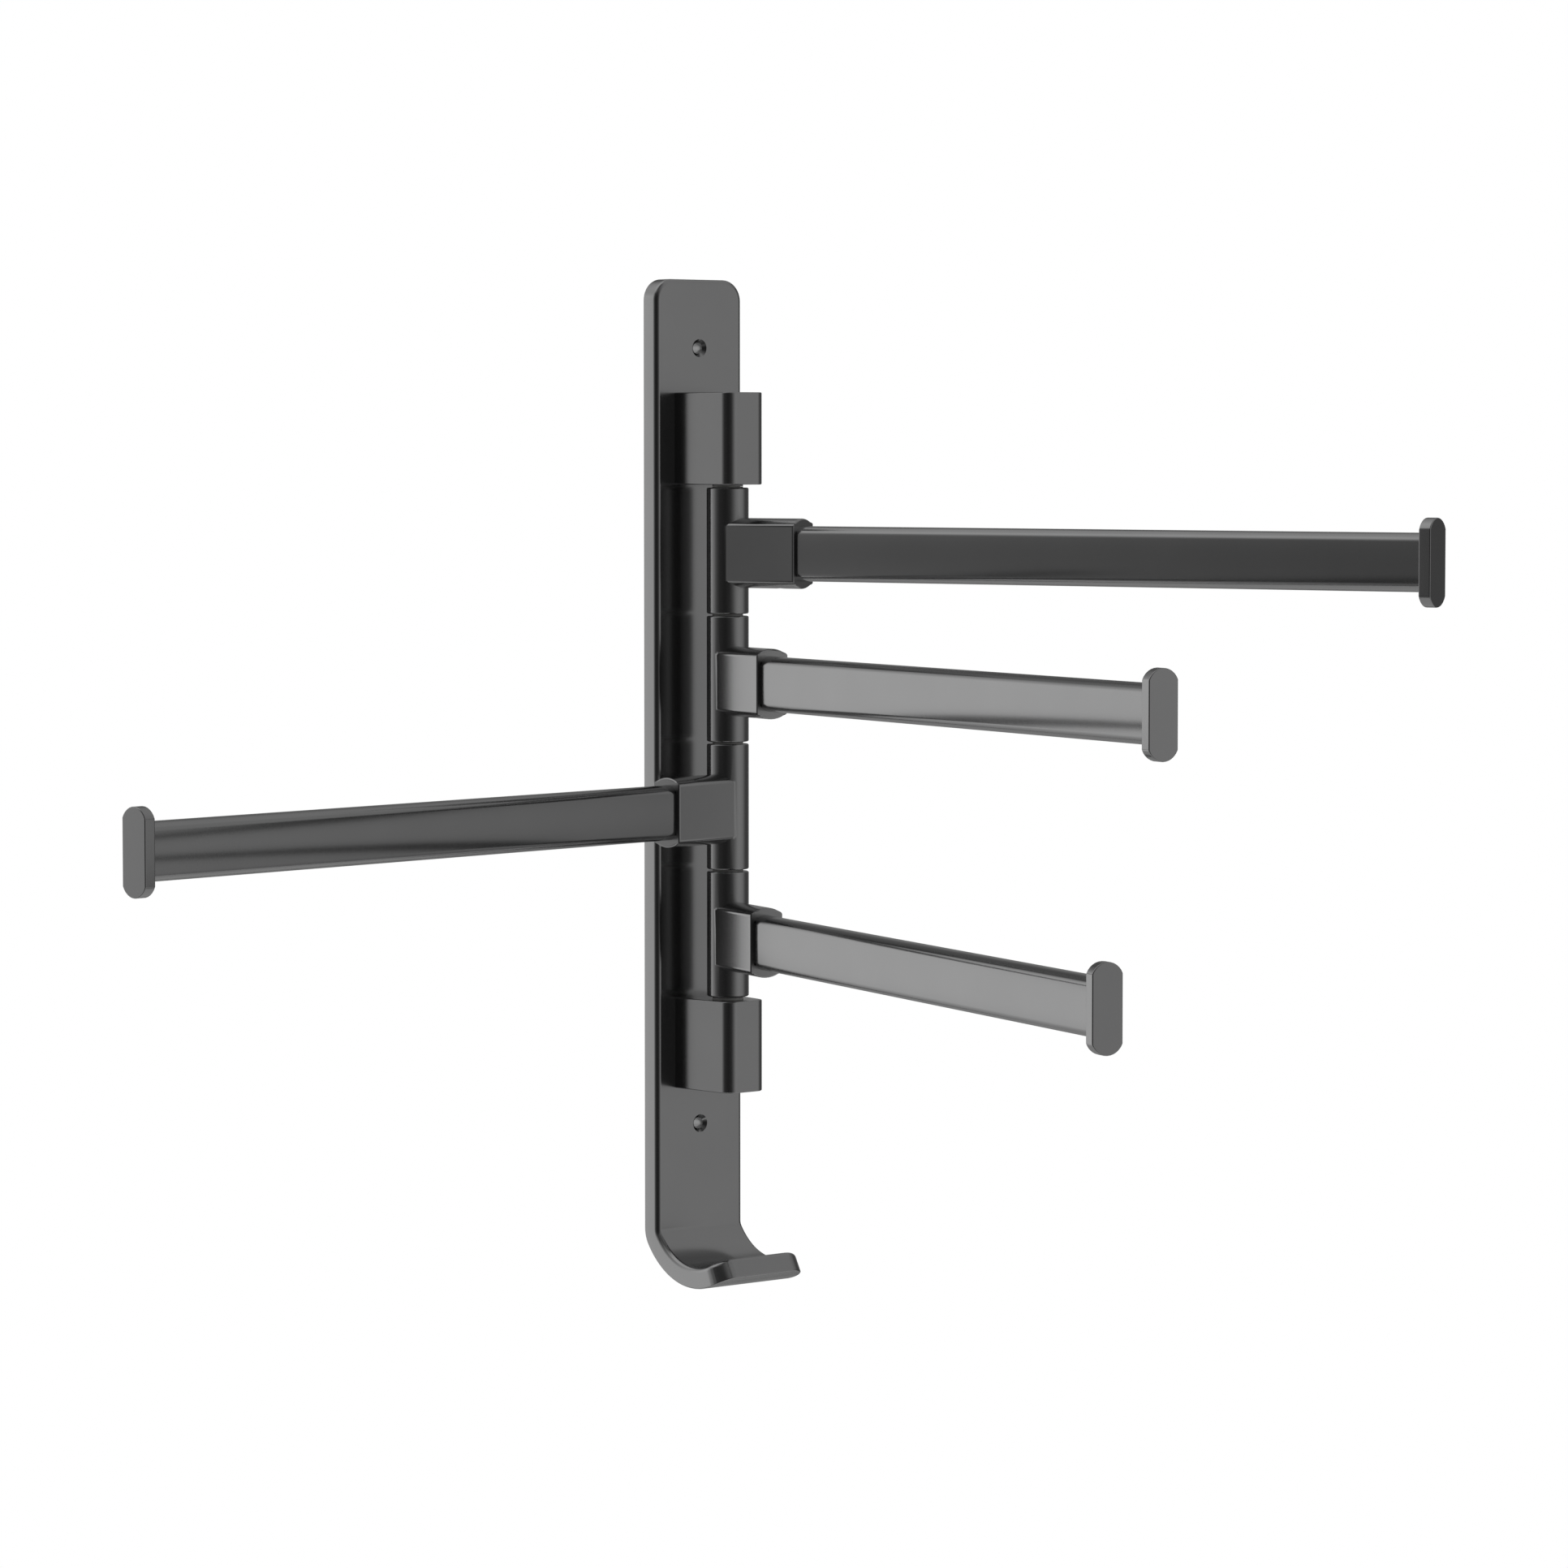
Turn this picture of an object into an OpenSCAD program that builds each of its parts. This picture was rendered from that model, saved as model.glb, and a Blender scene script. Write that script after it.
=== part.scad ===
// Swing arm towel bar: a wall plate with a hook, two brackets, a pivot rod and four swinging arms.
// The plate's back face lies on y = 0, the front faces -Y, Z is up.
// The origin is the centre of the two wall screw holes on the back face.

/* [Wall plate] */
// Width of the wall plate and its hook
plate_w = 41.4; // [36:0.2:50]
// Thickness of the wall plate and its hook
plate_t = 8; // [7:0.5:12]
// Distance between the two wall screw holes
wall_hole_spacing = 294; // [288:1:330]
// Height of the plate above the upper wall screw hole
plate_above_hole = 25.8; // [18:0.2:40]
// Radius of the plate's top corners and the hook's tip corners
plate_corner_r = 8; // [3:0.5:12]
// Bore of the wall screw holes
wall_hole_d = 4.4; // [4:0.1:5.4]
// Mouth of the wall screw holes' countersinks
wall_mouth_d = 6.8; // [6:0.1:9]

/* [Hook] */
// Flat plate between the lower wall screw hole and the hook's crease
hook_drop = 38.9; // [25:0.1:60]
// Inner radius of the crease where the hook leaves the plate
hook_crease_r = 3; // [1:0.5:8]
// Angle that the crease turns through
hook_crease_angle = 36; // [20:1:50]
// Inner radius of the hook's bowl
hook_r = 25; // [20:0.5:35]
// Rise of the hook's tip above the horizontal
hook_tip_angle = 29; // [10:1:50]
// Straight length at the hook's tip
hook_tip_len = 3.5; // [2:0.5:12]

/* [Brackets] */
// Height of each bracket
bracket_h = 34.5; // [30:0.5:45]
// Distance that each bracket stands out from the plate
bracket_depth = 28.6; // [27:0.2:36]
// Width of each bracket at its front
bracket_front_w = 18.6; // [17:0.2:22]
// Width of each bracket at its foot on the plate
bracket_foot_w = 24; // [23:0.5:30]
// Radius of each bracket's front corners
bracket_corner_r = 4.4; // [2:0.2:6]
// Thickness of the wall that closes each rod pocket
bracket_end_wall = 5; // [4.5:0.5:8]
// Distance between the two screws of one bracket
bracket_screw_spacing = 20; // [14:0.5:22]
// How far the stack of arms sits below the middle of the wall holes
stack_drop = 1.2; // [0:0.2:4]

/* [Pivot] */
// Distance from the plate's front face to the pivot axis
pivot_out = 16.9; // [16:0.1:19]
// Diameter of the pivot rod
rod_d = 8; // [7:0.2:9]
// Wall of the bushes between the rod and a knuckle
bush_wall = 0.95; // [0.8:0.05:1.5]
// Length of each bush inside its knuckle
bush_len = 12; // [6:0.5:20]
// Diameter of the bush flanges and of the thrust washers
flange_d = 11.6; // [11.2:0.1:13]
// Thickness of a bush flange
flange_t = 0.35; // [0.3:0.05:1]
// Thickness of a thrust washer
washer_t = 0.7; // [0.5:0.1:1.5]

/* [Arms] */
// Reach of an arm from the pivot axis to its end face
arm_reach = 300; // [200:1:400]
// Diameter of a knuckle's barrel
knuckle_d = 15.8; // [15:0.1:18]
// Height of a knuckle's barrel
knuckle_h = 47.3; // [42:0.1:60]
// Reach of a knuckle's socket from the pivot axis
socket_reach = 34.5; // [32:0.5:50]
// Depth of the pocket that holds the tube
pocket_depth = 20; // [12:0.5:22]
// Side wall of the socket around the tube
socket_side_wall = 1.7; // [1.2:0.05:2.6]
// Top and bottom wall of the socket around the tube
socket_top_wall = 2.8; // [2.4:0.05:3.5]
// Rise of the socket's arched top and bottom
socket_rise = 2.5; // [1:0.1:4]
// How far the socket's middle line, and with it the arm, sits below the barrel's middle
socket_drop = 0.8; // [0:0.1:3]
// Width of the arm tube
tube_w = 10; // [9:0.1:10.4]
// Height of the arm tube
tube_h = 20.6; // [18:0.1:24]
// Rise of the tube's arched top and bottom
tube_rise = 2.4; // [1.8:0.1:3]
// Wall of the arm tube
tube_wall = 1.2; // [0.8:0.1:2]
// How far the end cap stands out past the tube at each side
cap_side_lip = 0.75; // [0.4:0.05:3]
// How far the end cap stands out past the tube at top and bottom
cap_top_lip = 5.25; // [2:0.05:7]
// Rise of the end cap's arched top and bottom
cap_rise = 3.9; // [2:0.1:4.4]
// Thickness of the end cap
cap_t = 4.5; // [3:0.1:8]
// Length of the cap's spigot inside the tube
spigot_len = 12; // [6:0.5:20]

/* [Screws] */
// Thread diameter of all screws
screw_d = 4; // [3.5:0.1:4.2]
// Head diameter of the countersunk screws
screw_head_d = 7.6; // [7:0.1:7.8]
// Length of a bracket screw inside the bracket
bracket_screw_grip = 8; // [6:0.5:9]
// Length of a rod screw inside the rod
rod_screw_grip = 9; // [6:0.5:14]
// Size of the hex key that fits the countersunk screws
key_af = 2.5; // [2:0.1:3]
// Size of the hex key that fits the tube screws
grub_key_af = 2; // [1.5:0.1:2.2]

/* [Arm angles in the photograph, from the right along the wall] */
// Top arm
arm_1_angle = 74.1; // [0:0.1:180]
// Second arm
arm_2_angle = 100.3; // [0:0.1:180]
// Third arm
arm_3_angle = 170.6; // [0:0.1:180]
// Lowest arm
arm_4_angle = 104.3; // [0:0.1:180]

/* [Hidden] */
$fn = 96;
// Gap around a piece that is fixed in its seat
fit_gap = 0.02;
// Radial gap between the rod and a bush
running_gap = 0.05;
// Axial gap between two thrust faces
thrust_gap = 0.1;
// Radial gap around a screw in a clearance hole
screw_gap = 0.2;
// Depth left below a screw's end in its tapped hole
tap_spare = 2;
// Depth of the hex key sockets
key_depth = 1.6;
grub_key_depth = 1.2;
// How far a tube screw sits below the socket's underside
grub_recess = 0.3;
// Overrun of every cut past the face that it opens
cut = 1;
// Steps in each arc of an outline
arc_steps = 24;

pivot_y = -(plate_t + pivot_out);
knuckle_pitch = knuckle_h + 2 * flange_t + thrust_gap;
bracket_gap = washer_t + thrust_gap + flange_t;
stack_h = 3 * knuckle_pitch + knuckle_h + 2 * bracket_gap;
upper_bracket_z = stack_h / 2 - stack_drop;
lower_bracket_z = -stack_h / 2 - stack_drop;
rod_pocket = bracket_h - bracket_end_wall;
rod_end_z = stack_h / 2 + rod_pocket - thrust_gap;
bush_bore_d = rod_d + 2 * running_gap;
bush_d = bush_bore_d + 2 * bush_wall;
knuckle_bore_d = bush_d + 2 * fit_gap;
tap_d = screw_d + 2 * fit_gap;
screw_hole_d = screw_d + 2 * screw_gap;
// Height of a countersunk head, which has a 90 degree cone
head_h = (screw_head_d - screw_d) / 2;
plate_top = wall_hole_spacing / 2 + plate_above_hole;
crease_z = -wall_hole_spacing / 2 - hook_drop;
// Angle at which the hook's tip heads, from straight down
hook_tip_heading = 90 + hook_tip_angle;
// Centres of the hook's two arcs and its inner tip, as distance from the wall and height
crease_c = [plate_t + hook_crease_r, crease_z];
bowl_c = crease_c + (hook_r - hook_crease_r) * inward(hook_crease_angle);
hook_tip = bowl_c - hook_r * inward(hook_tip_heading) + hook_tip_len * heading(hook_tip_heading);
socket_w = tube_w + 2 * fit_gap + 2 * socket_side_wall;
socket_h = tube_h + 2 * fit_gap + 2 * socket_top_wall;
cap_w = tube_w + 2 * cap_side_lip;
cap_h = tube_h + 2 * cap_top_lip;
// Radii of the arched tops and bottoms
socket_r = arch_r(socket_w, socket_rise);
tube_r = arch_r(tube_w, tube_rise);
cap_r = arch_r(cap_w, cap_rise);
tube_start = socket_reach - pocket_depth + thrust_gap;
tube_end = arm_reach - cap_t;
arm_angles = [arm_1_angle, arm_2_angle, arm_3_angle, arm_4_angle];
first_arm_z = upper_bracket_z - bracket_gap - knuckle_h / 2;
metal = "dimgray";
steel = "silver";
nylon = "gainsboro";

// Radius of an arc that rises by rise over a chord of width w
function arch_r(w, rise) = (w * w / 4 + rise * rise) / (2 * rise);

// Unit vector at heading a, measured from straight down towards the front, in the profile plane
function heading(a) = [sin(a), -cos(a)];

// Unit vector square to heading a, towards the hook's inner side
function inward(a) = [cos(a), sin(a)];

// Points of an arc about c from angle a0 to angle a1
function arc(c, r, a0, a1) =
    [for (i = [0:arc_steps]) let (a = a0 + (a1 - a0) * i / arc_steps) c + r * [cos(a), sin(a)]];

// Profile plane to part: profile x becomes the distance in front of the wall, profile y becomes Z
module side_profile(width) {
    rotate([90, 0, -90]) linear_extrude(height = width, center = true) children();
}

// Outline with flat sides and arched top and bottom, w wide and h high, arch radius r
module arched(w, h, r) {
    arch_c = h / 2 - r;
    flat = arch_c + sqrt(r * r - w * w / 4);
    square([w, 2 * flat], center = true);
    for (side = [-1, 1])
        intersection() {
            translate([0, side * arch_c]) circle(r);
            square([w, h], center = true);
        }
}

// Stretches an outline along +X from x0 to x1, its own x across and its own y up
module bar(x0, x1) {
    translate([x0, 0, 0]) rotate([90, 0, 90]) linear_extrude(height = x1 - x0) children();
}

// Bar in the tube's outline, grown by gap on every side
module tube_bar(gap, x0, x1) {
    bar(x0, x1) arched(tube_w + 2 * gap, tube_h + 2 * gap, tube_r + gap);
}

// Countersunk screw: head face at z = 0, pointing to -Z, len long in all
module countersunk_screw(len) {
    color(steel) difference() {
        union() {
            translate([0, 0, -head_h]) cylinder(h = head_h, d1 = screw_d, d2 = screw_head_d);
            translate([0, 0, -len]) cylinder(h = len - head_h, d = screw_d);
        }
        translate([0, 0, -key_depth])
            cylinder(h = key_depth + cut, d = key_af / cos(30), $fn = 6);
    }
}

// Room for a countersunk screw: head face at z = 0, clearance hole depth long
module countersunk_hole(depth, hole_d, mouth_d) {
    cone_h = (mouth_d - hole_d) / 2;
    translate([0, 0, -cone_h]) cylinder(h = cone_h + cut, d1 = hole_d, d2 = mouth_d + 2 * cut);
    translate([0, 0, -depth - cut]) cylinder(h = depth + cut, d = hole_d);
}

// Places its child at both screws of the bracket whose middle is at height z, head side to the wall
module at_bracket_screws(z) {
    for (side = [-1, 1])
        translate([0, 0, z + side * bracket_screw_spacing / 2]) rotate([-90, 0, 0]) children();
}

// Side view of the plate and its hook: the inner side from the top to the tip, then the outer side back
module plate_outline() {
    back = 180 + hook_crease_angle;
    tip = 180 + hook_tip_heading;
    polygon(concat(
        [[plate_t, plate_top]],
        arc(crease_c, hook_crease_r, 180, back),
        arc(bowl_c, hook_r, back, tip),
        [hook_tip, hook_tip - plate_t * inward(hook_tip_heading)],
        arc(bowl_c, hook_r + plate_t, tip, back),
        arc(crease_c, hook_crease_r + plate_t, back, 180),
        [[0, plate_top]]
    ));
}

// What a corner loses when it is rounded: the corner is at the origin, the metal in the quarter x > 0, y > 0
module corner_waste(r, t) {
    difference() {
        translate([-cut, -cut, -cut]) cube([r + cut, r + cut, t + 2 * cut]);
        translate([r, r, -2 * cut]) cylinder(h = t + 4 * cut, r = r);
    }
}

module wall_plate() {
    color(metal) difference() {
        side_profile(plate_w) plate_outline();
        for (turn = [0, 1]) mirror([turn, 0, 0]) {
            translate([-plate_w / 2, 0, plate_top]) rotate([-90, 0, 0]) mirror([0, 0, 1])
                corner_waste(plate_corner_r, plate_t);
            // Square to the hook's tip, with room for the curve of the bowl behind it
            translate([-plate_w / 2, -hook_tip[0], hook_tip[1]]) rotate([-hook_tip_angle, 0, 0])
                translate([0, 0, -1.5 * plate_t]) corner_waste(plate_corner_r, 2 * plate_t);
        }
        for (side = [-1, 1])
            translate([0, -plate_t, side * wall_hole_spacing / 2])
                rotate([90, 0, 0]) countersunk_hole(plate_t, wall_hole_d, wall_mouth_d);
        for (z = [upper_bracket_z + bracket_h / 2, lower_bracket_z - bracket_h / 2])
            at_bracket_screws(z)
                countersunk_hole(plate_t, screw_hole_d, screw_head_d + 2 * fit_gap);
    }
}

// Bracket outline seen from above, with its foot on the plate's front face
module bracket_outline() {
    corner_x = bracket_front_w / 2 - bracket_corner_r;
    corner_y = bracket_depth - bracket_corner_r;
    foot_x = bracket_foot_w / 2;
    // Angle by which each flank leans in, so that it touches the corner's circle
    lean = acos(bracket_corner_r / norm([foot_x - corner_x, corner_y])) - atan2(corner_y, foot_x - corner_x);
    polygon(concat(
        [[-foot_x, 0], [foot_x, 0]],
        arc([corner_x, corner_y], bracket_corner_r, lean, 90),
        arc([-corner_x, corner_y], bracket_corner_r, 90, 180 - lean)
    ));
}

// Bracket standing up from z = 0, with the rod pocket in its underside
module bracket() {
    color(metal) difference() {
        translate([0, -plate_t, 0]) mirror([0, 1, 0]) linear_extrude(height = bracket_h) bracket_outline();
        translate([0, pivot_y, -cut]) cylinder(h = rod_pocket + cut, d = rod_d + 2 * fit_gap);
        translate([0, pivot_y, bracket_h])
            countersunk_hole(bracket_end_wall, screw_hole_d, screw_head_d + 2 * fit_gap);
        translate([0, -plate_t, 0]) at_bracket_screws(bracket_h / 2)
            translate([0, 0, -bracket_screw_grip - tap_spare])
                cylinder(h = bracket_screw_grip + tap_spare + cut, d = tap_d);
    }
}

module upper_bracket() {
    translate([0, 0, upper_bracket_z]) bracket();
}

module lower_bracket() {
    translate([0, 0, lower_bracket_z]) mirror([0, 0, 1]) bracket();
}

module bracket_screws(z) {
    at_bracket_screws(z) countersunk_screw(plate_t + bracket_screw_grip);
}

module pivot_rod() {
    color(steel) translate([0, pivot_y, -stack_drop]) difference() {
        cylinder(h = 2 * rod_end_z, d = rod_d, center = true);
        for (side = [-1, 1])
            translate([0, 0, side * (rod_end_z - rod_screw_grip / 2 - tap_spare / 2 + cut / 2)])
                cylinder(h = rod_screw_grip + tap_spare + cut, d = tap_d, center = true);
    }
}

module upper_rod_screw() {
    translate([0, pivot_y, upper_bracket_z + bracket_h])
        countersunk_screw(bracket_end_wall + rod_screw_grip);
}

module lower_rod_screw() {
    translate([0, pivot_y, lower_bracket_z - bracket_h]) mirror([0, 0, 1])
        countersunk_screw(bracket_end_wall + rod_screw_grip);
}

// Washer against a bracket, standing up from height z
module thrust_washer(z) {
    color(nylon) translate([0, pivot_y, z]) difference() {
        cylinder(h = washer_t, d = flange_d);
        translate([0, 0, -cut]) cylinder(h = washer_t + 2 * cut, d = bush_bore_d);
    }
}

// Places its child on arm i, whose own +X runs out along the arm from the pivot axis
module on_arm(i) {
    translate([0, pivot_y, first_arm_z - (i - 1) * knuckle_pitch])
        rotate([0, 0, -arm_angles[i - 1]]) children();
}

// The same at the height of the arm's own middle line
module on_arm_line(i) {
    on_arm(i) translate([0, 0, -socket_drop]) children();
}

module arm_knuckle(i) {
    color(metal) difference() {
        union() {
            on_arm(i) cylinder(h = knuckle_h, d = knuckle_d, center = true);
            on_arm_line(i) bar(0, socket_reach) arched(socket_w, socket_h, socket_r);
        }
        on_arm(i) cylinder(h = knuckle_h + 2 * cut, d = knuckle_bore_d, center = true);
        on_arm_line(i) tube_bar(fit_gap, socket_reach - pocket_depth, socket_reach + cut);
        on_arm_line(i) translate([socket_reach - pocket_depth / 2, 0, -socket_h])
            cylinder(h = socket_h, d = tap_d);
    }
}

module arm_tube(i) {
    color(metal) on_arm_line(i) difference() {
        tube_bar(0, tube_start, tube_end);
        tube_bar(-tube_wall, tube_start - cut, tube_end + cut);
    }
}

module arm_end_cap(i) {
    color(metal) on_arm_line(i) {
        bar(tube_end, arm_reach) arched(cap_w, cap_h, cap_r);
        // The spigot follows the tube's inside, less the gap around a fixed piece
        tube_bar(-tube_wall - fit_gap, tube_end - spigot_len, tube_end + cap_t / 2);
    }
}

// Flanged bush standing up from its flange's outer face at z = 0
module bush() {
    color(nylon) difference() {
        union() {
            cylinder(h = flange_t, d = flange_d);
            cylinder(h = flange_t + bush_len, d = bush_d);
        }
        translate([0, 0, -cut]) cylinder(h = flange_t + bush_len + 2 * cut, d = bush_bore_d);
    }
}

module arm_upper_bush(i) {
    on_arm(i) translate([0, 0, knuckle_h / 2 + flange_t]) mirror([0, 0, 1]) bush();
}

module arm_lower_bush(i) {
    on_arm(i) translate([0, 0, -knuckle_h / 2 - flange_t]) bush();
}

module arm_tube_screw(i) {
    top = -tube_h / 2 - fit_gap;
    bottom = -socket_h / 2 + grub_recess;
    color(steel) on_arm_line(i) translate([socket_reach - pocket_depth / 2, 0, bottom]) difference() {
        cylinder(h = top - bottom, d = screw_d);
        translate([0, 0, -cut]) cylinder(h = grub_key_depth + cut, d = grub_key_af / cos(30), $fn = 6);
    }
}

wall_plate();
upper_bracket();
lower_bracket();
bracket_screws(upper_bracket_z + bracket_h / 2);  // upper_bracket_screws
bracket_screws(lower_bracket_z - bracket_h / 2);  // lower_bracket_screws
pivot_rod();
upper_rod_screw();
lower_rod_screw();
thrust_washer(upper_bracket_z - washer_t);  // upper_thrust_washer
thrust_washer(lower_bracket_z);  // lower_thrust_washer
arm_knuckle(1);  // arm_1_knuckle
arm_tube(1);  // arm_1_tube
arm_end_cap(1);  // arm_1_end_cap
arm_upper_bush(1);  // arm_1_upper_bush
arm_lower_bush(1);  // arm_1_lower_bush
arm_tube_screw(1);  // arm_1_tube_screw
arm_knuckle(2);  // arm_2_knuckle
arm_tube(2);  // arm_2_tube
arm_end_cap(2);  // arm_2_end_cap
arm_upper_bush(2);  // arm_2_upper_bush
arm_lower_bush(2);  // arm_2_lower_bush
arm_tube_screw(2);  // arm_2_tube_screw
arm_knuckle(3);  // arm_3_knuckle
arm_tube(3);  // arm_3_tube
arm_end_cap(3);  // arm_3_end_cap
arm_upper_bush(3);  // arm_3_upper_bush
arm_lower_bush(3);  // arm_3_lower_bush
arm_tube_screw(3);  // arm_3_tube_screw
arm_knuckle(4);  // arm_4_knuckle
arm_tube(4);  // arm_4_tube
arm_end_cap(4);  // arm_4_end_cap
arm_upper_bush(4);  // arm_4_upper_bush
arm_lower_bush(4);  // arm_4_lower_bush
arm_tube_screw(4);  // arm_4_tube_screw
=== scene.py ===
"""Looks of the swing arm towel bar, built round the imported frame.

The front faces -Y, Z is up and the plate's back lies on y = 0. Pieces are shaped in millimetres, the
sizes of the part's source, and turned into metres when they are finished.
"""

import math

import bmesh
import bpy
from mathutils import Matrix, Vector


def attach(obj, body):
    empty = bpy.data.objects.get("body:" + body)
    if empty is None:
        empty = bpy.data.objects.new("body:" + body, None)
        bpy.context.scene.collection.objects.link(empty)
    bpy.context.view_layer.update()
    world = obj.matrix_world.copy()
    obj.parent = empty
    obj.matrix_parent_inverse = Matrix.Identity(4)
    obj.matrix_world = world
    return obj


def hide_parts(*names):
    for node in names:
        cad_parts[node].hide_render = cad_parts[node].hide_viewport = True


MM = 0.001
NEAR = 1e-3

# Wall plate and hook
PLATE_W = 41.4
PLATE_T = 8.0
PLATE_TOP = 172.8
PLATE_CORNER = 8.0
PLATE_FRONT_ROUND = 2.0
PLATE_BACK_ROUND = 0.5
# Heights at which the flat length is divided, clear of its holes
PLATE_CUTS = (138.0, 96.0, 0.0, -98.0, -138.0)
WALL_HOLE_Z = 147.0
WALL_HOLE_R = 2.2
WALL_MOUTH_R = 3.4
CREASE_Z = -185.9
CREASE_R = 3.0
CREASE_ANGLE = math.radians(36)
BOWL_R = 25.0
TIP_HEADING = math.radians(119)
TIP_LEN = 3.5

# Brackets
BRACKET_H = 34.5
BRACKET_DEPTH = 28.6
BRACKET_FOOT = 24.0
BRACKET_FRONT = 18.6
BRACKET_CORNER = 4.4
BRACKET_SCREWS = 20.0
BRACKET_ROUND = 0.45
BRACKET_Z = {"upper": 95.75, "lower": -98.15}

# Pivot, screws and bushes
PIVOT_Y = -24.9
ROD_POCKET_R = 4.02
ROD_POCKET = 29.5
SCREW_HOLE_R = 2.2
SCREW_HEAD_R = 3.82
TAP_R = 2.02
TAP_DEPTH = 10.0

# Arms, along their own X from the pivot axis
ARM_ANGLES = (74.1, 100.3, 170.6, 104.3)
FIRST_ARM_Z = 70.95
ARM_PITCH = 48.1
ARM_DROP = 0.8
ARM_REACH = 300.0
BARREL_R = 7.9
BARREL_H = 47.3
BARREL_ROUND = 0.6
BORE_R = 5.02
SOCKET_REACH = 34.5
SOCKET_W = 13.44
SOCKET_H = 26.24
SOCKET_RISE = 2.5
SOCKET_ROUND = 0.8
POCKET_DEPTH = 20.0
TUBE_W = 10.0
TUBE_H = 20.6
TUBE_RISE = 2.4
TUBE_WALL = 1.2
TUBE_ROUND = 0.8
TUBE_START = 14.6
CAP_W = 11.5
CAP_H = 31.1
CAP_RISE = 3.9
CAP_T = 4.5
CAP_ROUND = 0.4
SPIGOT_LEN = 12.0
FIT_GAP = 0.02

# Edges below this angle are shaded smooth
SMOOTH = math.radians(38)
# Weights of big faces against small ones in the shading: even, so that flats stay flat, or small first
FLAT = 50
CROWNED = 1

# Steps round a drilled hole, and the run-out of every cutter
HOLE_STEPS = 48
RUN_OUT = 1.0

FLOOR_R = 1.3
FLOOR_Z = -1.2

# Camera, fitted to the photograph
CAMERA_PLACE = (-1.30738, -1.64728, 0.11227)
CAMERA_YAW = -39.445
CAMERA_PITCH = -3.548
CAMERA_LENS = 127.229

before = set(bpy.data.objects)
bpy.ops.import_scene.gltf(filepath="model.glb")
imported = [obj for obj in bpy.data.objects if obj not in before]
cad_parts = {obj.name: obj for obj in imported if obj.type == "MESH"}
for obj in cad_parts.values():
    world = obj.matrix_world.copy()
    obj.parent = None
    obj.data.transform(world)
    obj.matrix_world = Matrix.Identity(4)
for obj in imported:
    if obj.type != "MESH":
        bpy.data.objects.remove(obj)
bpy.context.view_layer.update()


# Shader helpers


class Signal:
    """A socket with arithmetic: an expression on values adds the Math nodes."""

    def __init__(self, finish, socket):
        self.finish = finish
        self.socket = socket

    def maths(self, operation, *values):
        return self.finish.node("ShaderNodeMath", list(values), operation=operation)

    def __add__(self, other):
        return self.maths("ADD", self, other)

    def __sub__(self, other):
        return self.maths("SUBTRACT", self, other)

    def __mul__(self, other):
        return self.maths("MULTIPLY", self, other)

    def clamped(self):
        return self.maths("MINIMUM", self.maths("MAXIMUM", self, 0.0), 1.0)

    __radd__ = __add__


class Finish:
    """Node tree of one material or of the world, with one method that makes its nodes."""

    def __init__(self, owner):
        owner.use_nodes = True
        self.owner = owner
        self.tree = owner.node_tree
        self.tree.nodes.clear()

    def node(self, kind, values=(), output=0, stops=None, **settings):
        """Node of that type: settings first, then the values or links of its sockets."""
        made = self.tree.nodes.new(kind)
        for name, value in settings.items():
            setattr(made, name, value)
        if stops:
            self.set_stops(made.color_ramp, stops)
        pairs = values.items() if isinstance(values, dict) else enumerate(values)
        for key, value in pairs:
            if isinstance(value, Signal):
                self.tree.links.new(value.socket, made.inputs[key])
            else:
                made.inputs[key].default_value = value
        if not made.outputs:
            return made
        return Signal(self, made.outputs[output])

    @staticmethod
    def set_stops(ramp, stops):
        while len(ramp.elements) > 1:
            ramp.elements.remove(ramp.elements[-1])
        for place, level in stops:
            element = ramp.elements.new(place)
            element.color = (level, level, level, 1.0)
        ramp.elements.remove(ramp.elements[0])

    def noise(self, scale, detail=2.0):
        place = self.node("ShaderNodeTexCoord", output="Object")
        sockets = {"Vector": place, "Scale": scale, "Detail": detail}
        return self.node("ShaderNodeTexNoise", sockets)

    def tint(self, mask, low, high):
        """Colour between low and high by a mask."""
        made = self.tree.nodes.new("ShaderNodeMix")
        made.data_type = "RGBA"
        self.tree.links.new(mask.socket, made.inputs[0])
        made.inputs[6].default_value = (*low, 1.0)
        made.inputs[7].default_value = (*high, 1.0)
        return Signal(self, made.outputs[2])

    def surface(self, **sockets):
        """Principled shader as the material's surface, with bump under Bump as (height, distance)."""
        bump = sockets.pop("Bump", None)
        values = {name.replace("_", " "): value for name, value in sockets.items()}
        if bump:
            height, distance = bump
            pair = {"Height": height, "Distance": distance, "Strength": 1.0}
            values["Normal"] = self.node("ShaderNodeBump", pair)
        shader = self.node("ShaderNodeBsdfPrincipled", values)
        self.node("ShaderNodeOutputMaterial", [shader])
        return self.owner


def gunmetal():
    """Dark satin metal coat: faint clouding, fine grain, edges a touch smoother."""
    f = Finish(bpy.data.materials.new("gunmetal"))
    cloud = f.noise(38.0, 3.0)
    grain = f.noise(900.0)
    rim = f.node("ShaderNodeAttribute", output="Fac", attribute_name="rim")
    base = f.tint((cloud * 0.7 + grain * 0.3).clamped(), (0.285, 0.285, 0.287), (0.325, 0.325, 0.325))
    rough = 0.175 + cloud * 0.02 + grain * 0.02 - rim * 0.01
    return f.surface(
        Base_Color=base, Metallic=1.0, Roughness=rough, Bump=(grain * 0.6 + cloud * 0.4, 0.000004)
    )


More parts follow.
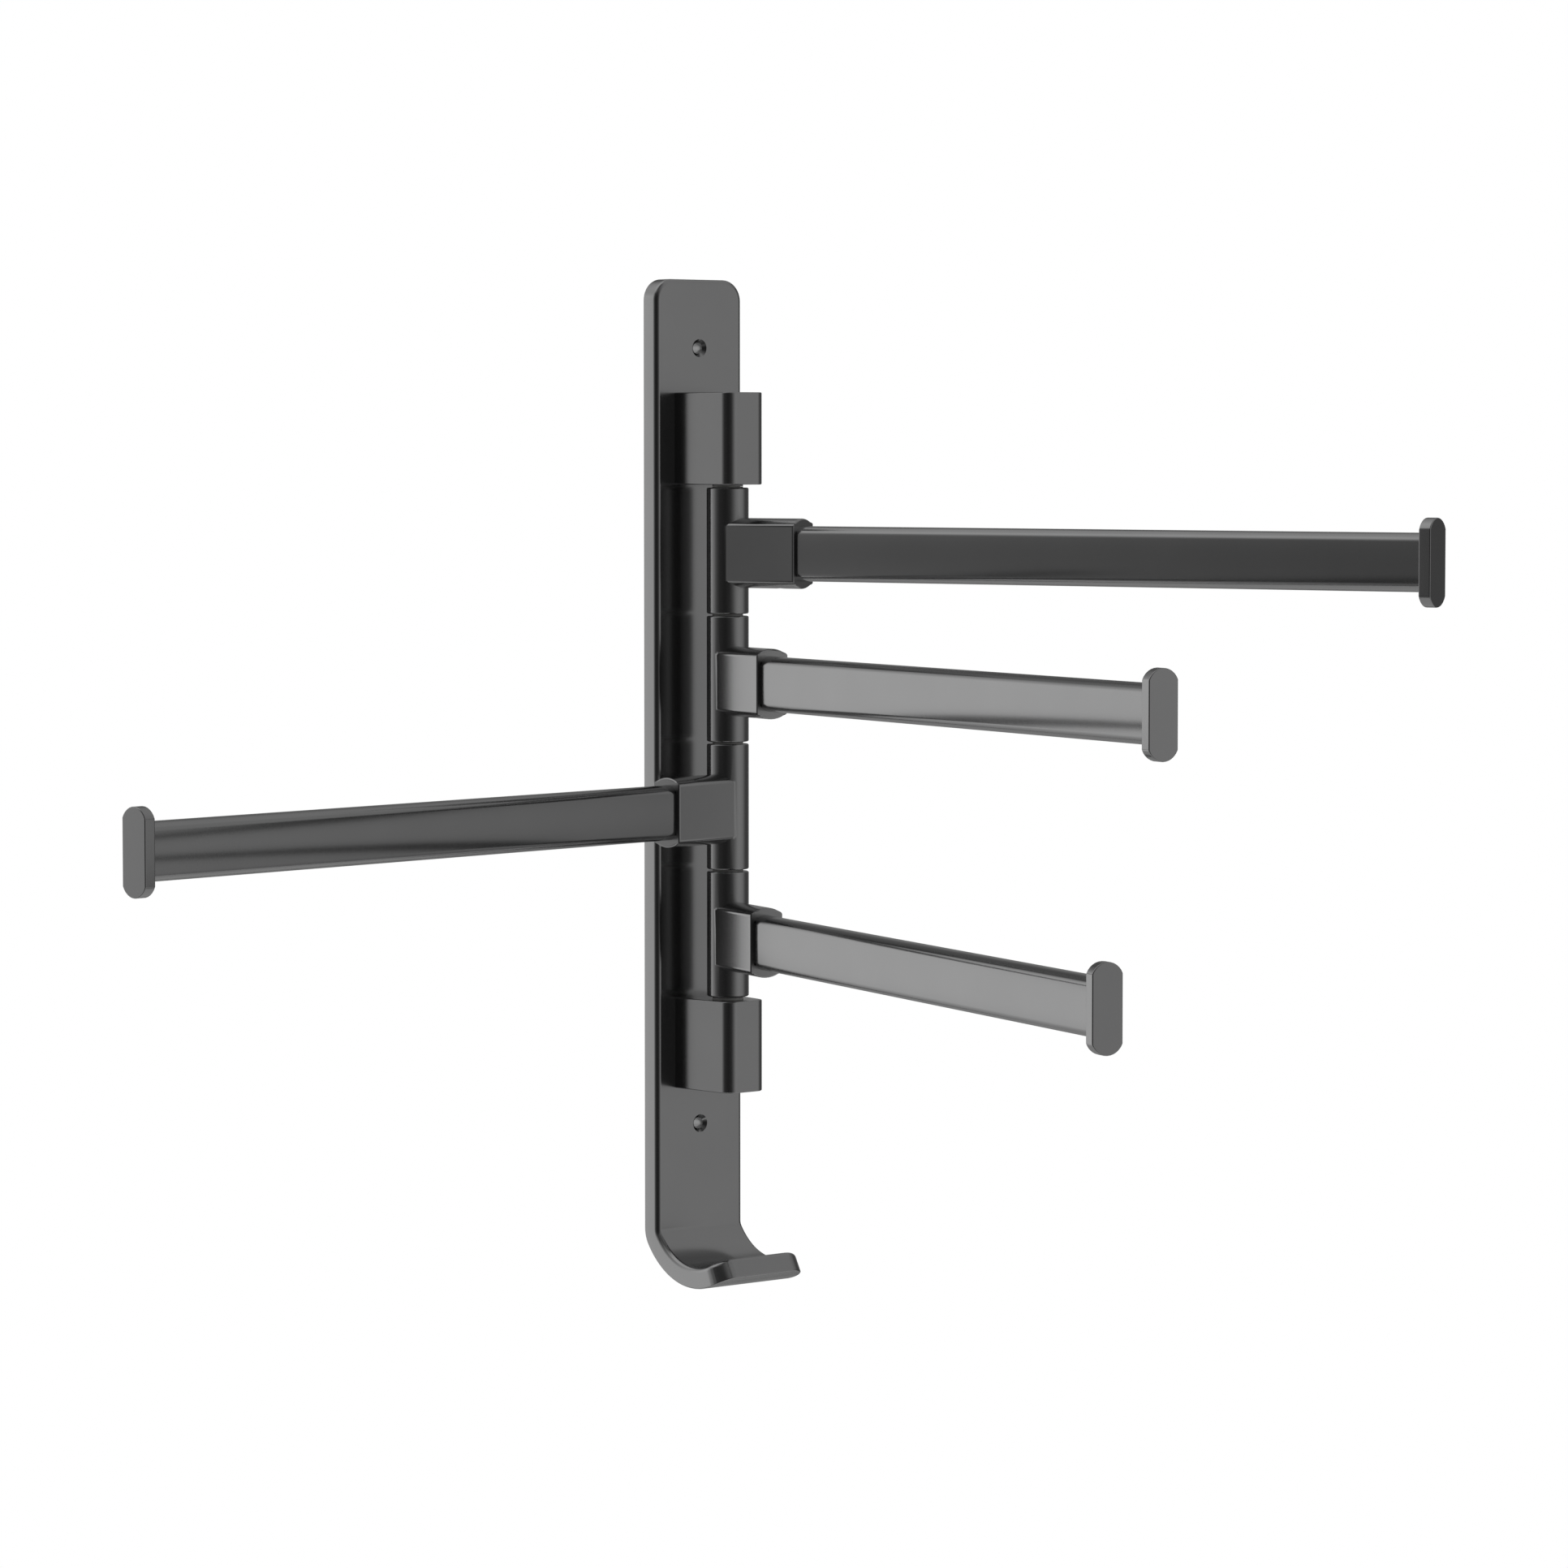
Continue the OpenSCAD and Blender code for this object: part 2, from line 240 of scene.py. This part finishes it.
def turned_steel():
    """Bright rod steel with fine turning lines round it."""
    f = Finish(bpy.data.materials.new("turned_steel"))
    place = f.node("ShaderNodeTexCoord", output="Object")
    lines = f.node("ShaderNodeMapping", {"Vector": place, "Scale": (40.0, 40.0, 2600.0)})
    turning = f.node("ShaderNodeTexNoise", {"Vector": lines, "Scale": 1.0, "Detail": 2.0})
    cloud = f.noise(120.0)
    base = f.tint(cloud, (0.52, 0.52, 0.53), (0.62, 0.62, 0.62))
    return f.surface(
        Base_Color=base, Metallic=1.0, Roughness=0.2 + turning * 0.12, Bump=(turning, 0.000008)
    )


def plated_steel():
    """Plated screw steel, dulled in patches."""
    f = Finish(bpy.data.materials.new("plated_steel"))
    patch = f.noise(700.0, 3.0)
    grain = f.noise(5200.0)
    base = f.tint(patch, (0.40, 0.40, 0.41), (0.56, 0.56, 0.57))
    return f.surface(
        Base_Color=base, Metallic=1.0, Roughness=0.28 + patch * 0.14, Bump=(grain, 0.000006)
    )


def white_nylon():
    """Moulded bush nylon, faintly speckled."""
    f = Finish(bpy.data.materials.new("white_nylon"))
    speckle = f.noise(1600.0, 3.0)
    base = f.tint(speckle, (0.66, 0.66, 0.64), (0.76, 0.76, 0.74))
    return f.surface(Base_Color=base, Roughness=0.42 + speckle * 0.12, Bump=(speckle, 0.00001))


# Mesh helpers


def place_on_arm(i):
    """From an arm's own frame, its height 0 on the arm's middle line, to the part's."""
    pivot = Matrix.Translation((0, PIVOT_Y, FIRST_ARM_Z - ARM_DROP - i * ARM_PITCH))
    return pivot @ Matrix.Rotation(-math.radians(ARM_ANGLES[i]), 4, "Z")


def edges_where(bm, test):
    return [e for e in bm.edges if test(e.verts[0].co, e.verts[1].co)]


def both(test):
    """Test of an edge from a test of its ends."""
    return lambda a, b: test(a) and test(b)


def round_edges(bm, edges, width, steps):
    """Rounds edges and marks the new faces as rim."""
    rim = bm.faces.layers.float.get("rim") or bm.faces.layers.float.new("rim")
    bmesh.ops.recalc_face_normals(bm, faces=bm.faces)
    made = bmesh.ops.bevel(
        bm,
        geom=edges,
        offset=width,
        offset_type="OFFSET",
        affect="EDGES",
        segments=steps,
        profile=0.5,
        material=-1,
        clamp_overlap=False,
        loop_slide=True,
    )
    for face in made["faces"]:
        face[rim] = 1.0


def clear_rim(bm):
    """Gives rounded corners the same coat as the flats."""
    rim = bm.faces.layers.float.get("rim")
    for face in bm.faces:
        face[rim] = 0.0


class Outline:
    """Cross-section with flat sides and arched ends, w wide and h high, all grown by gap."""

    STEPS = 12

    def __init__(self, w, h, rise, gap=0.0):
        self.half_w = w / 2 + gap
        self.top_r = (w * w / 4 + rise * rise) / (2 * rise) + gap
        self.top_z = h / 2 + gap - self.top_r
        self.edge_z = self.top(self.half_w)

    def top(self, y):
        """Height of the arch over y."""
        return self.top_z + math.sqrt(self.top_r**2 - y * y)

    def loop(self, bm, x):
        """Edges of the outline across x: a side and the top over it, then both turned half round."""
        before = set(bm.edges)
        known = set(bm.verts)
        low = bm.verts.new((x, self.half_w, -self.edge_z))
        high = bm.verts.new((x, self.half_w, self.edge_z))
        bm.edges.new((low, high))
        arch = math.pi - 2 * math.atan2(self.edge_z - self.top_z, self.half_w)
        about = {"axis": (1, 0, 0), "angle": arch, "steps": self.STEPS}
        bmesh.ops.spin(bm, geom=[high], cent=(x, 0, self.top_z), **about)
        half = [g for g in bm.verts[:] + bm.edges[:] if g not in known and g not in before]
        about = {"axis": (1, 0, 0), "angle": math.pi, "steps": 1, "use_duplicate": True}
        bmesh.ops.spin(bm, geom=half, cent=(x, 0, 0), **about)
        whole = [v for v in bm.verts if v not in known]
        bmesh.ops.remove_doubles(bm, verts=whole, dist=NEAR)
        return [e for e in bm.edges if e not in before]

    def at_edge(self, co):
        """On one of the four long edges."""
        return abs(abs(co.y) - self.half_w) < NEAR and abs(abs(co.z) - self.edge_z) < NEAR


TUBE = (TUBE_W, TUBE_H, TUBE_RISE)
SOCKET = Outline(SOCKET_W, SOCKET_H, SOCKET_RISE)
CAP = Outline(CAP_W, CAP_H, CAP_RISE)


def bridge(bm, *loops):
    """Walls between each loop and the next, whose vertices pair up by their order round the X axis."""
    turn = lambda v: math.atan2(v.co.z, v.co.y) % math.tau
    rows = [sorted({v for e in loop for v in e.verts}, key=turn) for loop in loops]
    for low, high in zip(rows, rows[1:]):
        for k in range(len(low)):
            bm.faces.new((low[k - 1], low[k], high[k], high[k - 1]))


def push(bm, faces, shift, keep=False):
    """Extrudes faces and moves them; gives the moved vertices. A lone sheet keeps its first faces."""
    made = bmesh.ops.extrude_face_region(bm, geom=faces)
    moved = [g for g in made["geom"] if isinstance(g, bmesh.types.BMVert)]
    bmesh.ops.translate(bm, verts=moved, vec=shift)
    if not keep:
        bmesh.ops.delete(bm, geom=faces, context="FACES")
    return moved


def lathe(bm, profile, steps, place):
    """Closed solid of revolution from (radius, height) points, which start and end on the axis."""
    line = [bm.verts.new((r, 0, z)) for r, z in profile]
    edges = [bm.edges.new(pair) for pair in zip(line, line[1:])]
    around = {"cent": (0, 0, 0), "axis": (0, 0, 1), "angle": math.tau}
    bmesh.ops.spin(bm, geom=line + edges, steps=steps, use_merge=True, **around)
    bmesh.ops.remove_doubles(bm, verts=bm.verts, dist=NEAR)
    bmesh.ops.transform(bm, matrix=place, verts=bm.verts)
    bmesh.ops.recalc_face_normals(bm, faces=bm.faces)


def as_object(bm, name):
    """Object at the origin, still in millimetres."""
    bmesh.ops.remove_doubles(bm, verts=bm.verts, dist=NEAR / 2)
    bmesh.ops.recalc_face_normals(bm, faces=bm.faces)
    mesh = bpy.data.meshes.new(name)
    bm.to_mesh(mesh)
    bm.free()
    made = bpy.data.objects.new(name, mesh)
    bpy.context.scene.collection.objects.link(made)
    return made


def arm_object(bm, i, name):
    """Object of an arm's piece that was built in the arm's own frame."""
    bmesh.ops.transform(bm, matrix=place_on_arm(i), verts=bm.verts)
    return as_object(bm, f"arm_{i + 1}_{name}")


def countersink(hole_r, mouth_r, depth):
    """Profile of a countersunk hole, its face at height 0 and a little run-out above."""
    cone = mouth_r - hole_r
    rim = (mouth_r + RUN_OUT, RUN_OUT)
    return [(0, -depth), (hole_r, -depth), (hole_r, -cone), rim, (0, RUN_OUT)]


def drill(piece, holes):
    """Cuts lathed holes, given as (profile, place), out of a piece."""
    for number, (profile, place) in enumerate(holes):
        bm = bmesh.new()
        lathe(bm, profile, HOLE_STEPS, place)
        cutter = as_object(bm, f"cutter_{number}")
        cut = piece.modifiers.new(cutter.name, "BOOLEAN")
        cut.operation = "DIFFERENCE"
        cut.solver = "EXACT"
        cut.object = cutter
    view = bpy.context.evaluated_depsgraph_get()
    mesh = bpy.data.meshes.new_from_object(piece.evaluated_get(view))
    cutters = [m.object for m in piece.modifiers]
    piece.modifiers.clear()
    piece.data = mesh
    for cutter in cutters:
        bpy.data.objects.remove(cutter)
    bm = bmesh.new()
    bm.from_mesh(mesh)
    bmesh.ops.remove_doubles(bm, verts=bm.verts, dist=NEAR * 30)
    bm.to_mesh(mesh)
    bm.free()


def dress(piece, finish, body, node, weight=FLAT):
    """Metres, smooth shading by weighted normals or plain ones, the finish, and the tie to the frame."""
    piece.data.transform(Matrix.Scale(MM, 4))
    piece.data.polygons.foreach_set("use_smooth", [True] * len(piece.data.polygons))
    piece.data.set_sharp_from_angle(angle=SMOOTH)
    if weight:
        flats = piece.modifiers.new("flats", "WEIGHTED_NORMAL")
        flats.mode = "FACE_AREA"
        flats.weight = weight
        flats.keep_sharp = True
    piece.data.materials.clear()
    piece.data.materials.append(finish)
    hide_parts(node)
    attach(piece, body)


# Wall plate: a flat blank with rounded edges, bent into the hook


def bend(co, crease, bowl, tip):
    """Where a point of the flat blank goes; crease, bowl and tip are lengths from the crease's start.
    The tip is not used.
    """
    mid = PLATE_T / 2
    depth = -co.y - mid
    down = CREASE_Z - co.z
    if down <= 0:
        return co.copy()
    crease_mid = CREASE_R + mid
    bowl_mid = BOWL_R + mid
    if down <= crease:
        turn = down / crease_mid
        radius = crease_mid - depth
        centre = Vector((PLATE_T + CREASE_R, CREASE_Z))
    else:
        turn = CREASE_ANGLE + min(down, bowl) / bowl_mid - crease / bowl_mid
        radius = bowl_mid - depth
        offset = BOWL_R - CREASE_R
        inward = Vector((math.cos(CREASE_ANGLE), math.sin(CREASE_ANGLE)))
        centre = Vector((PLATE_T + CREASE_R, CREASE_Z)) + offset * inward
    beyond = max(0.0, down - bowl)
    front = centre.x - radius * math.cos(turn) + beyond * math.sin(turn)
    height = centre.y - radius * math.sin(turn) - beyond * math.cos(turn)
    return Vector((co.x, -front, height))


def wall_plate(finish):
    mid = PLATE_T / 2
    crease = CREASE_ANGLE * (CREASE_R + mid)
    bowl = crease + (TIP_HEADING - CREASE_ANGLE) * (BOWL_R + mid)
    tip = bowl + TIP_LEN
    length = PLATE_TOP - CREASE_Z + tip
    bm = bmesh.new()
    bmesh.ops.create_cube(bm, size=1.0)
    bmesh.ops.scale(bm, vec=(PLATE_W, PLATE_T, length), verts=bm.verts)
    bmesh.ops.translate(bm, vec=(0, -mid, PLATE_TOP - length / 2), verts=bm.verts)
    corners = edges_where(bm, lambda a, b: abs(a.y - b.y) > mid)
    round_edges(bm, corners, PLATE_CORNER, 12)
    clear_rim(bm)
    front = edges_where(bm, both(lambda co: abs(co.y + PLATE_T) < NEAR))
    round_edges(bm, front, PLATE_FRONT_ROUND, 6)
    back = edges_where(bm, both(lambda co: abs(co.y) < NEAR))
    round_edges(bm, back, PLATE_BACK_ROUND, 3)
    cuts = [CREASE_Z - z for z in PLATE_CUTS]
    cuts += [crease * k / 6 for k in range(7)]
    cuts += [crease + (bowl - crease) * k / 30 for k in range(1, 31)]
    for down in cuts:
        geom = bm.verts[:] + bm.edges[:] + bm.faces[:]
        bmesh.ops.bisect_plane(
            bm, geom=geom, dist=1e-5, plane_co=(0, 0, CREASE_Z - down), plane_no=(0, 0, 1)
        )
    for v in bm.verts:
        v.co = bend(v.co, crease, bowl, tip)
    piece = as_object(bm, "plate")
    through = PLATE_T + 2 * RUN_OUT
    mouth = countersink(WALL_HOLE_R, WALL_MOUTH_R, through)
    seat = countersink(SCREW_HOLE_R, SCREW_HEAD_R, through)
    holes = []
    for side in (-1, 1):
        place = Matrix.Translation((0, -PLATE_T, side * WALL_HOLE_Z))
        holes.append((mouth, place @ Matrix.Rotation(math.pi / 2, 4, "X")))
    for middle in bracket_middles():
        for side in (-1, 1):
            place = Matrix.Translation((0, 0, middle + side * BRACKET_SCREWS / 2))
            holes.append((seat, place @ Matrix.Rotation(-math.pi / 2, 4, "X")))
    drill(piece, holes)
    dress(piece, finish, "wall_mount", "wall_plate")


def bracket_middles():
    return (BRACKET_Z["upper"] + BRACKET_H / 2, BRACKET_Z["lower"] - BRACKET_H / 2)


# Brackets


def bracket(side, finish):
    """Bracket built upwards from its pivot end; the lower one is mirrored."""
    bm = bmesh.new()
    flip = 1 if side == "upper" else -1
    corner_x = BRACKET_FRONT / 2 - BRACKET_CORNER
    corner_y = BRACKET_DEPTH - BRACKET_CORNER
    reach = math.hypot(BRACKET_FOOT / 2 - corner_x, corner_y)
    lean = math.acos(BRACKET_CORNER / reach) - math.atan2(corner_y, BRACKET_FOOT / 2 - corner_x)
    front_x = BRACKET_FOOT / 2 - BRACKET_DEPTH * math.tan(lean)
    outline = [
        (-BRACKET_FOOT / 2, 0),
        (BRACKET_FOOT / 2, 0),
        (front_x, BRACKET_DEPTH),
        (-front_x, BRACKET_DEPTH),
    ]
    foot = bm.faces.new([bm.verts.new((x, -PLATE_T - y, 0)) for x, y in outline])
    push(bm, [foot], (0, 0, BRACKET_H), keep=True)
    front_y = -PLATE_T - BRACKET_DEPTH
    fronts = edges_where(bm, lambda a, b: a.y < front_y + NEAR and abs(a.z - b.z) > 1)
    tangent = BRACKET_CORNER * math.tan((math.pi / 2 - lean) / 2)
    round_edges(bm, fronts, tangent, 12)
    clear_rim(bm)
    on_plate = both(lambda co: co.y > -PLATE_T - NEAR)
    ends = edges_where(bm, lambda a, b: abs(a.z - b.z) < NEAR and not on_plate(a, b))
    round_edges(bm, ends, BRACKET_ROUND, 3)
    if flip < 0:
        bmesh.ops.scale(bm, vec=(1, 1, -1), verts=bm.verts)
    bmesh.ops.translate(bm, vec=(0, 0, BRACKET_Z[side]), verts=bm.verts)
    piece = as_object(bm, f"{side}_bracket_body")
    # Rod pocket from below, then the rod screw's hole and its countersink
    bore = [
        (0, -RUN_OUT),
        (ROD_POCKET_R, -RUN_OUT),
        (ROD_POCKET_R, ROD_POCKET),
        (SCREW_HOLE_R, ROD_POCKET),
        (SCREW_HOLE_R, BRACKET_H - SCREW_HEAD_R + SCREW_HOLE_R),
        (SCREW_HEAD_R + RUN_OUT, BRACKET_H + RUN_OUT),
        (0, BRACKET_H + RUN_OUT),
    ]
    tap = [(0, -RUN_OUT), (TAP_R, -RUN_OUT), (TAP_R, TAP_DEPTH), (0, TAP_DEPTH)]
    turn = Matrix.Scale(flip, 4, (0, 0, 1))
    base = Matrix.Translation((0, PIVOT_Y, BRACKET_Z[side])) @ turn
    holes = [(bore, base)]
    for step in (-1, 1):
        place = Matrix.Translation((0, -PLATE_T, BRACKET_H / 2 + step * BRACKET_SCREWS / 2))
        up = Matrix.Translation((0, 0, BRACKET_Z[side])) @ turn @ place
        holes.append((tap, up @ Matrix.Rotation(math.pi / 2, 4, "X")))
    drill(piece, holes)
    dress(piece, finish, "wall_mount", f"{side}_bracket")


# Arms


def in_front(co):
    """On the side of the barrel that the socket grows from."""
    return co.x > 0 and abs(co.y) < SOCKET.half_w + NEAR


def barrel(bm):
    """Barrel wall whose front quads already follow the socket's outline."""
    half = math.asin(SOCKET.half_w / BARREL_R)
    low = ARM_DROP - BARREL_H / 2
    first = bm.verts.new((BARREL_R * math.cos(half), -SOCKET.half_w, low))
    around = {"cent": (0, 0, low), "axis": (0, 0, 1)}
    front = bmesh.ops.spin(bm, geom=[first], angle=2 * half, steps=12, **around)
    last = [g for g in front["geom_last"] if isinstance(g, bmesh.types.BMVert)]
    bmesh.ops.spin(bm, geom=last, angle=math.tau - 2 * half, steps=26, **around)
    bmesh.ops.remove_doubles(bm, verts=bm.verts, dist=NEAR)
    ring = bm.edges[:]
    for row in ("below", "above", "top"):
        made = bmesh.ops.extrude_edge_only(bm, edges=ring)["geom"]
        ring = [g for g in made if isinstance(g, bmesh.types.BMEdge)]
        level = -1 if row == "below" else 1
        for v in [g for g in made if isinstance(g, bmesh.types.BMVert)]:
            if row == "top":
                v.co.z = ARM_DROP + BARREL_H / 2
            elif in_front(v.co) and abs(v.co.y) < SOCKET.half_w - NEAR:
                v.co.z = level * SOCKET.top(v.co.y)
            else:
                v.co.z = level * SOCKET.edge_z


def open_bore(bm):
    """Closes both ends of the barrel and bores it through."""
    loops = []
    for end in (-1, 1):
        height = ARM_DROP + end * BARREL_H / 2
        rim = edges_where(bm, both(lambda co: abs(co.z - height) < NEAR))
        cap = bmesh.ops.edgeloop_fill(bm, edges=rim)["faces"][0]
        bmesh.ops.inset_region(
            bm, faces=[cap], thickness=BARREL_R - BORE_R, use_even_offset=True, use_boundary=True
        )
        loops += cap.edges[:]
        bmesh.ops.delete(bm, geom=[cap], context="FACES_ONLY")
    bmesh.ops.bridge_loops(bm, edges=loops)


def knuckle(i, finish):
    """Barrel with a socket drawn out of its front, a pocket for the tube and a tapped hole below."""
    bm = bmesh.new()
    barrel(bm)
    inside = lambda co: in_front(co) and abs(co.z) < SOCKET.top(co.y) + NEAR
    grown = [f for f in bm.faces if all(inside(v.co) for v in f.verts)]
    for v in push(bm, grown, (0, 0, 0)):
        v.co.x = SOCKET_REACH
    at_end = lambda co: abs(co.x - SOCKET_REACH) < NEAR
    strips = [f for f in bm.faces if all(at_end(v.co) for v in f.verts)]
    mouth = bmesh.ops.dissolve_faces(bm, faces=strips)["region"][0]
    outer = mouth.edges[:]
    bmesh.ops.delete(bm, geom=[mouth], context="FACES_ONLY")
    pocket = Outline(*TUBE, gap=FIT_GAP)
    bottom = pocket.loop(bm, SOCKET_REACH - POCKET_DEPTH)
    bridge(bm, outer, pocket.loop(bm, SOCKET_REACH), bottom)
    bmesh.ops.edgeloop_fill(bm, edges=bottom)
    open_bore(bm)

    on_barrel = lambda co: abs(math.hypot(co.x, co.y) - BARREL_R) < NEAR
    rims = both(lambda co: on_barrel(co) and abs(co.z - ARM_DROP) > BARREL_H / 2 - NEAR)
    round_edges(bm, edges_where(bm, rims), BARREL_ROUND, 4)
    along = lambda a, b: SOCKET.at_edge(a) and SOCKET.at_edge(b) and abs(a.x - b.x) > 5
    beyond = lambda co: abs(co.y) > TUBE_W / 2 + 1 or abs(co.z) > TUBE_H / 2 + 1
    around = both(lambda co: at_end(co) and beyond(co))
    round_edges(bm, edges_where(bm, along) + edges_where(bm, around), SOCKET_ROUND, 5)
    piece = arm_object(bm, i, "socket")
    low = -SOCKET_H / 2 - RUN_OUT
    high = 2 * RUN_OUT - TUBE_H / 2
    tap = [(0, low), (TAP_R, low), (TAP_R, high), (0, high)]
    # Turned by half a step, so that no corner of the cutter lies on the pocket's lowest edge
    middle = Matrix.Translation((SOCKET_REACH - POCKET_DEPTH / 2, 0, 0))
    turn = Matrix.Rotation(math.pi / HOLE_STEPS, 4, "Z")
    drill(piece, [(tap, place_on_arm(i) @ middle @ turn)])
    dress(piece, finish, f"arm_{i + 1}", f"arm_{i + 1}_knuckle", weight=CROWNED)


def tube(i, finish):
    """Hollow tube with soft long edges."""
    bm = bmesh.new()
    outside = Outline(*TUBE)
    inside = Outline(*TUBE, gap=-TUBE_WALL)
    end = ARM_REACH - CAP_T
    walls = [outside.loop(bm, TUBE_START), outside.loop(bm, end), inside.loop(bm, end)]
    walls.append(inside.loop(bm, TUBE_START))
    bridge(bm, *walls, walls[0])
    edge = outside.at_edge
    along = edges_where(bm, lambda a, b: edge(a) and edge(b) and abs(a.x - b.x) > 5)
    round_edges(bm, along, TUBE_ROUND, 1)
    piece = arm_object(bm, i, "bar")
    dress(piece, finish, f"arm_{i + 1}", f"arm_{i + 1}_tube", weight=None)


def end_cap(i, finish):
    """Cap with eased rims, and its spigot inside the tube."""
    bm = bmesh.new()
    inner = ARM_REACH - CAP_T
    spigot = Outline(*TUBE, gap=-TUBE_WALL - FIT_GAP)
    walls = [CAP.loop(bm, ARM_REACH), CAP.loop(bm, inner)]
    walls += [spigot.loop(bm, inner), spigot.loop(bm, inner - SPIGOT_LEN)]
    bridge(bm, *walls)
    for end in (walls[0], walls[-1]):
        bmesh.ops.edgeloop_fill(bm, edges=end)
    along = edges_where(bm, lambda a, b: CAP.at_edge(a) and CAP.at_edge(b) and abs(a.x - b.x) > 1)
    round_edges(bm, along + walls[0] + walls[1], CAP_ROUND, 4)
    piece = arm_object(bm, i, "cap")
    dress(piece, finish, f"arm_{i + 1}", f"arm_{i + 1}_end_cap")


# Stage: camera, studio light and floor


# Light by direction round the part: degrees from the front towards +X, and the level there
LIGHT = {
    "level": [
        (-180, 0.75),
        (-168, 0.94),
        (-158, 0.98),
        (-146, 0.94),
        (-138, 0.8),
        (-131, 0.52),
        (-121, 0.42),
        (-110, 0.22),
        (-98, 0.1),
        (-85, 0.05),
        (-50, 0.03),
        (-25, 0.06),
        (-10, 0.16),
        (0, 0.28),
        (10, 0.41),
        (24, 0.5),
        (38, 0.46),
        (50, 0.42),
        (59, 0.28),
        (70, 0.14),
        (90, 0.1),
        (110, 0.15),
        (130, 0.25),
        (155, 0.3),
        (180, 0.75),
    ],
    "raised": [
        (-180, 0.3),
        (-168, 0.6),
        (-150, 0.7),
        (-125, 0.5),
        (-100, 0.1),
        (-50, 0.04),
        (-20, 0.15),
        (10, 0.4),
        (40, 0.46),
        (60, 0.4),
        (100, 0.2),
        (125, 0.3),
        (150, 0.1),
        (170, 0.16),
        (180, 0.3),
    ],
    "high": [
        (-180, 0.7),
        (-150, 0.85),
        (-120, 0.85),
        (-90, 0.25),
        (-50, 0.12),
        (-15, 0.3),
        (15, 0.44),
        (100, 0.44),
        (130, 0.4),
        (160, 0.6),
        (180, 0.7),
    ],
    "low": [
        (-180, 0.45),
        (-150, 0.5),
        (-120, 0.3),
        (-95, 0.12),
        (-30, 0.14),
        (0, 0.3),
        (20, 0.5),
        (45, 0.5),
        (60, 0.3),
        (80, 0.13),
        (110, 0.13),
        (150, 0.35),
        (180, 0.45),
    ],
}


# Heights of the direction at which a ring takes over from the one before it, and how fast
RAISED = (0.24, 6.0)
HIGH = (0.5, 6.0)
LOW = (0.24, 4.0)


def studio_light():
    """Soft studio round the part: bright panels left behind and right, a dark side to the camera."""
    world = bpy.data.worlds.new("studio")
    bpy.context.scene.world = world
    f = Finish(world)
    direction = f.node("ShaderNodeTexCoord", output="Generated")
    x = f.node("ShaderNodeSeparateXYZ", [direction], output="X")
    y = f.node("ShaderNodeSeparateXYZ", [direction], output="Y")
    z = f.node("ShaderNodeSeparateXYZ", [direction], output="Z")
    azimuth = f.node("ShaderNodeMath", [x, y * -1.0], operation="ARCTAN2") * (1 / math.tau) + 0.5
    ring = {}
    for name, panels in LIGHT.items():
        stops = [((degrees + 180) / 360, level) for degrees, level in panels]
        # Times one turns the ramp's colour into a value
        ring[name] = f.node("ShaderNodeValToRGB", [azimuth], stops=stops) * 1.0
    takes_over = lambda height, start, speed: ((height - start) * speed).clamped()
    raised = takes_over(z, *RAISED)
    high = takes_over(z, *HIGH)
    low = takes_over(z * -1.0, *LOW)
    strength = (
        ring["level"]
        + (ring["raised"] - ring["level"]) * raised
        + (ring["high"] - ring["raised"]) * high
        + (ring["low"] - ring["level"]) * low
    )
    room = f.node("ShaderNodeBackground", {"Color": (1, 1, 1, 1), "Strength": strength})
    white = f.node("ShaderNodeBackground", {"Color": (1, 1, 1, 1), "Strength": 1.0})
    seen = f.node("ShaderNodeLightPath", output="Is Camera Ray")
    mixed = f.node("ShaderNodeMixShader", [seen, room, white])
    f.node("ShaderNodeOutputWorld", [mixed])


def floor():
    """Plain pale floor below the part, out of the photograph's view."""
    bm = bmesh.new()
    bmesh.ops.create_circle(bm, cap_ends=True, segments=96, radius=FLOOR_R)
    bmesh.ops.translate(bm, vec=(0, 0, FLOOR_Z), verts=bm.verts)
    ground = as_object(bm, "floor")
    f = Finish(bpy.data.materials.new("pale_floor"))
    cloud = f.noise(2.0)
    tone = f.tint(cloud, (0.80, 0.80, 0.80), (0.84, 0.84, 0.84))
    glow = (0.9, 0.9, 0.9, 1.0)
    f.surface(Base_Color=tone, Roughness=0.8, Emission_Color=glow, Emission_Strength=0.2)
    ground.data.materials.append(f.owner)


def camera():
    lens = bpy.data.cameras.new("camera")
    lens.lens = CAMERA_LENS
    lens.sensor_width = 36.0
    lens.clip_start = 0.05
    made = bpy.data.objects.new("camera", lens)
    made.location = CAMERA_PLACE
    made.rotation_euler = (math.radians(90 + CAMERA_PITCH), 0, math.radians(CAMERA_YAW))
    bpy.context.scene.collection.objects.link(made)
    bpy.context.scene.camera = made


def main():
    bpy.context.scene.view_settings.view_transform = "Standard"
    camera()
    studio_light()
    floor()
    metal = gunmetal()
    wall_plate(metal)
    for side in ("upper", "lower"):
        bracket(side, metal)
    for i in range(len(ARM_ANGLES)):
        knuckle(i, metal)
        tube(i, metal)
        end_cap(i, metal)
    finishes = {"rod_steel": turned_steel(), "screw_steel": plated_steel(), "nylon": white_nylon()}
    slots = {"pivot_rod": "rod_steel"}
    for name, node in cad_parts.items():
        if node.hide_render:
            continue
        slot = slots.get(name, "screw_steel" if "screw" in name else "nylon")
        node.data.materials.clear()
        node.data.materials.append(finishes[slot])


main()
